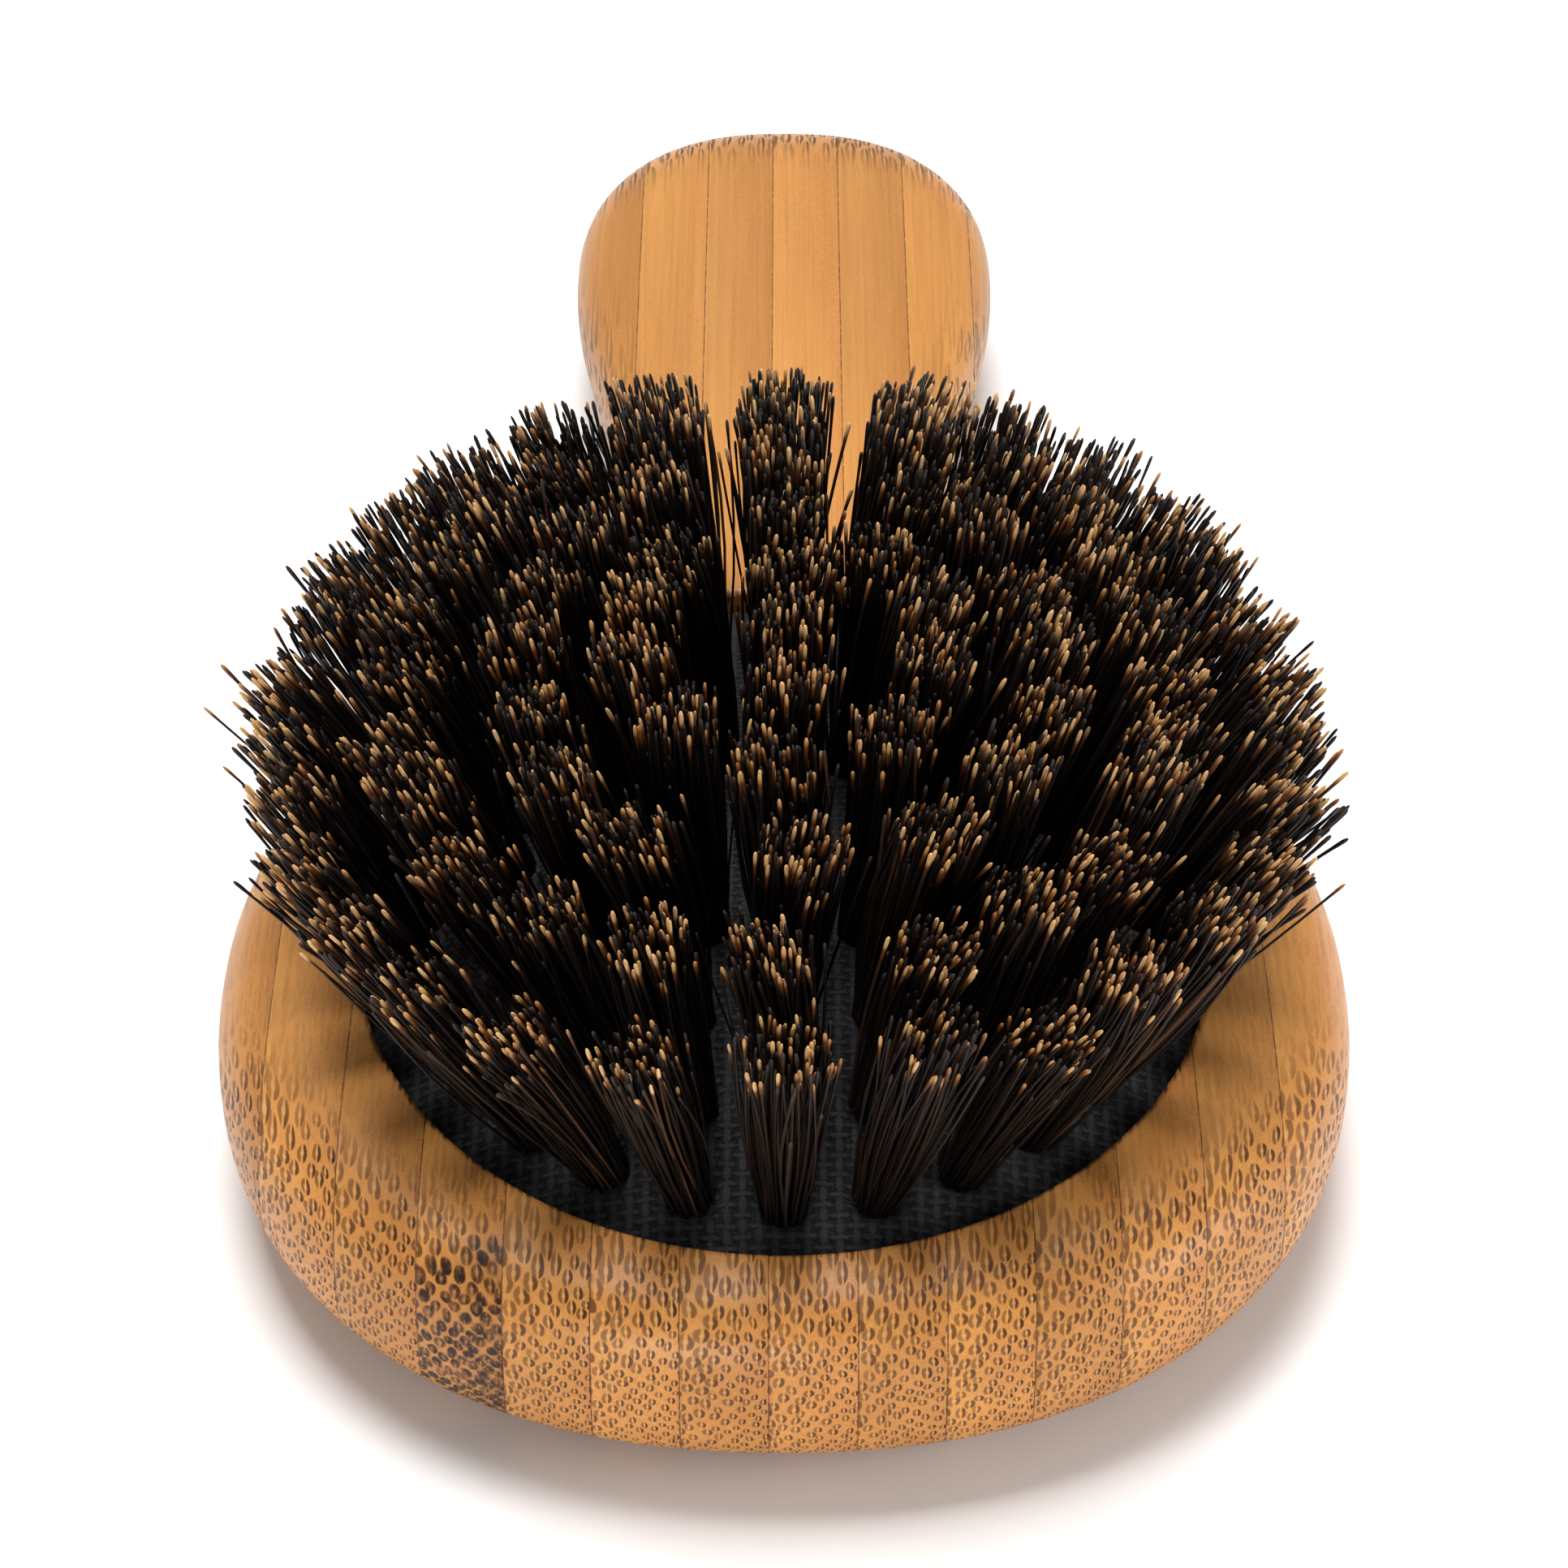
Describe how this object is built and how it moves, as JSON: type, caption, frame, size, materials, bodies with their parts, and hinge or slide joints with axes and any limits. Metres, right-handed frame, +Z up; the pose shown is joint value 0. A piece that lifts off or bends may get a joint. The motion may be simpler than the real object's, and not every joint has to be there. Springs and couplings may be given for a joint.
{
  "type": "beard brush",
  "caption": "Hand brush with a laminated bamboo oval head and handle, a domed cloth-faced air cushion and rings of outward-leaning bristle tufts.",
  "frame": {"origin": "middle of the flat resting face under the head, at the head's widest point", "axes": "+Y along the handle, away from the head; +Z up, the way the bristles stand; +X to the right when looking along +Y"},
  "size_m": [0.0694, 0.1443, 0.0361],
  "materials": {
    "bamboo_light": "satin lacquer",
    "bamboo_mid": "satin lacquer",
    "bamboo_warm": "satin lacquer",
    "rubber": "matt",
    "cloth": "woven",
    "bristle": "dark shafts with pale tips",
    "wire": "drawn wire"
  },
  "bodies": {
    "brush_back": {"stave_01": "bamboo_mid", "stave_02": "bamboo_warm", "stave_03": "bamboo_light", "stave_04": "bamboo_mid", "stave_05": "bamboo_warm", "stave_06": "bamboo_light", "stave_07": "bamboo_mid", "stave_08": "bamboo_warm", "stave_09": "bamboo_light", "stave_10": "bamboo_mid", "stave_11": "bamboo_warm", "stave_12": "bamboo_light", "stave_13": "bamboo_mid", "stave_14": "bamboo_warm", "grip_edge_strip": "bamboo_warm", "cushion_rubber": "rubber", "cushion_cloth": "cloth"},
    "bristle_field": {"tuft_ring_outer": "bristle", "tuft_ring_second": "bristle", "tuft_ring_third": "bristle", "tuft_ring_inner": "bristle", "tuft_centre_row": "bristle", "tie_wires_outer": "wire", "tie_wires_second": "wire", "tie_wires_third": "wire", "tie_wires_inner": "wire", "tie_wires_centre": "wire"}
  },
  "joints": [
    {"name": "cushion_press", "type": "slide", "parent": "brush_back", "child": "bristle_field", "axis": [0, 0, -1], "range_m": [0, 0.0025], "stiffness_N_per_m": 3000, "deforming": ["cushion_rubber", "cushion_cloth"]}
  ]
}
